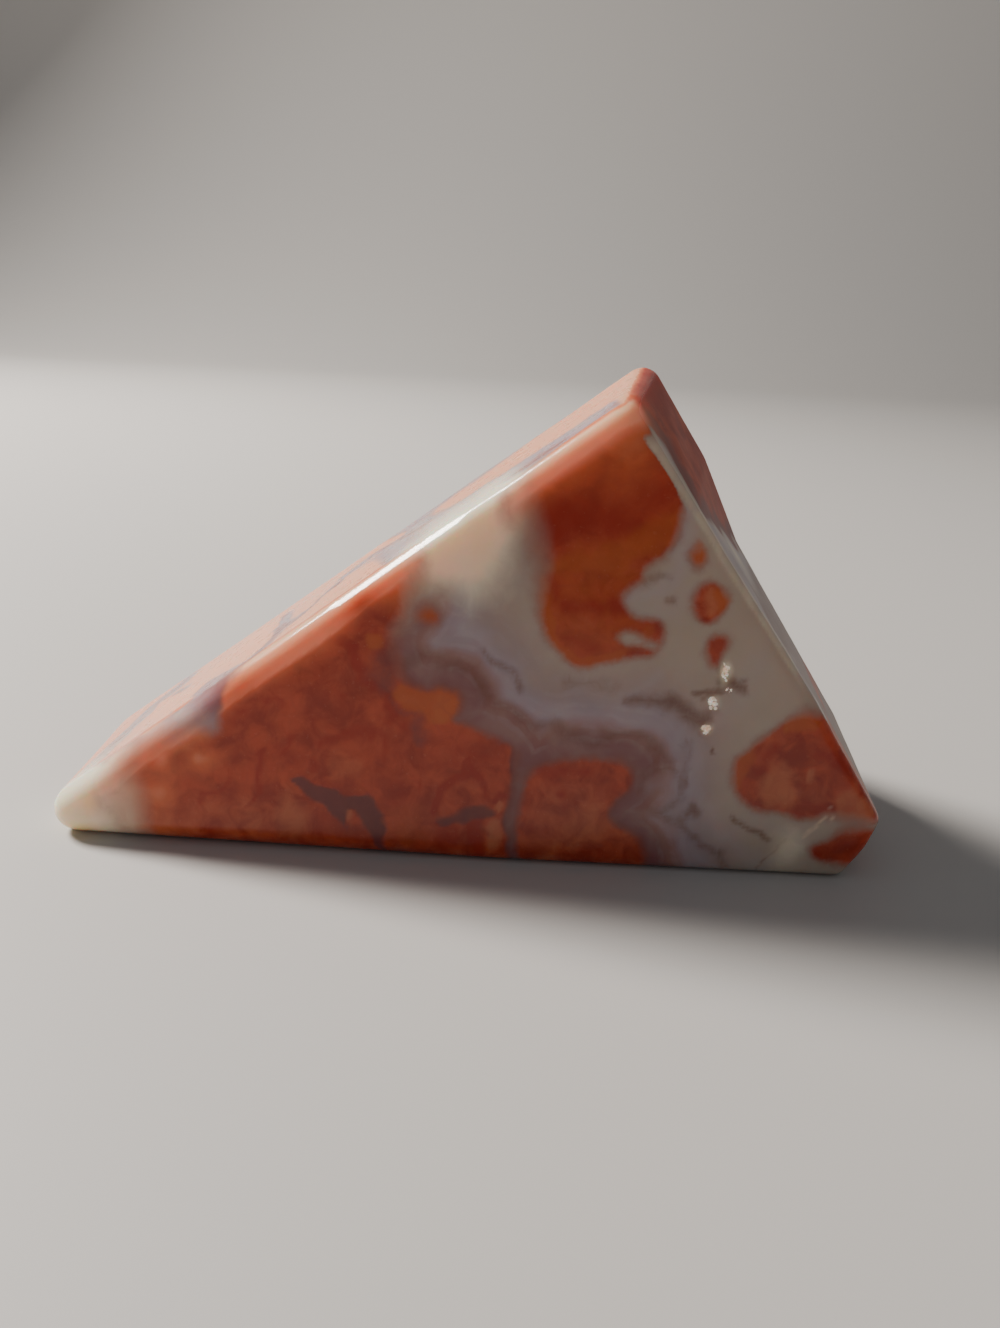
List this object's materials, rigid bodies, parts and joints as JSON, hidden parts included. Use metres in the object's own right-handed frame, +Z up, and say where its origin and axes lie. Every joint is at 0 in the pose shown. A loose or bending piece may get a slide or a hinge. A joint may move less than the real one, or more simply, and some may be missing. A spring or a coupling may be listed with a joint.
{
  "type": "agate freeform",
  "caption": "Polished freeform of banded agate that stands on its own flat base: a leaning ridge, a long slope to a thin tip, a bevelled shoulder and small crystal pits.",
  "frame": {"origin": "on the flat base, at the middle of the bounding box seen from above", "axes": "+X along the longest side, from the thin tip towards the blunt heel; +Y from the broad front face to the back; +Z up"},
  "size_m": [0.0986, 0.04, 0.0555],
  "materials": {
    "agate": "polished"
  },
  "bodies": {
    "root": {"stone": "agate"}
  },
  "joints": []
}
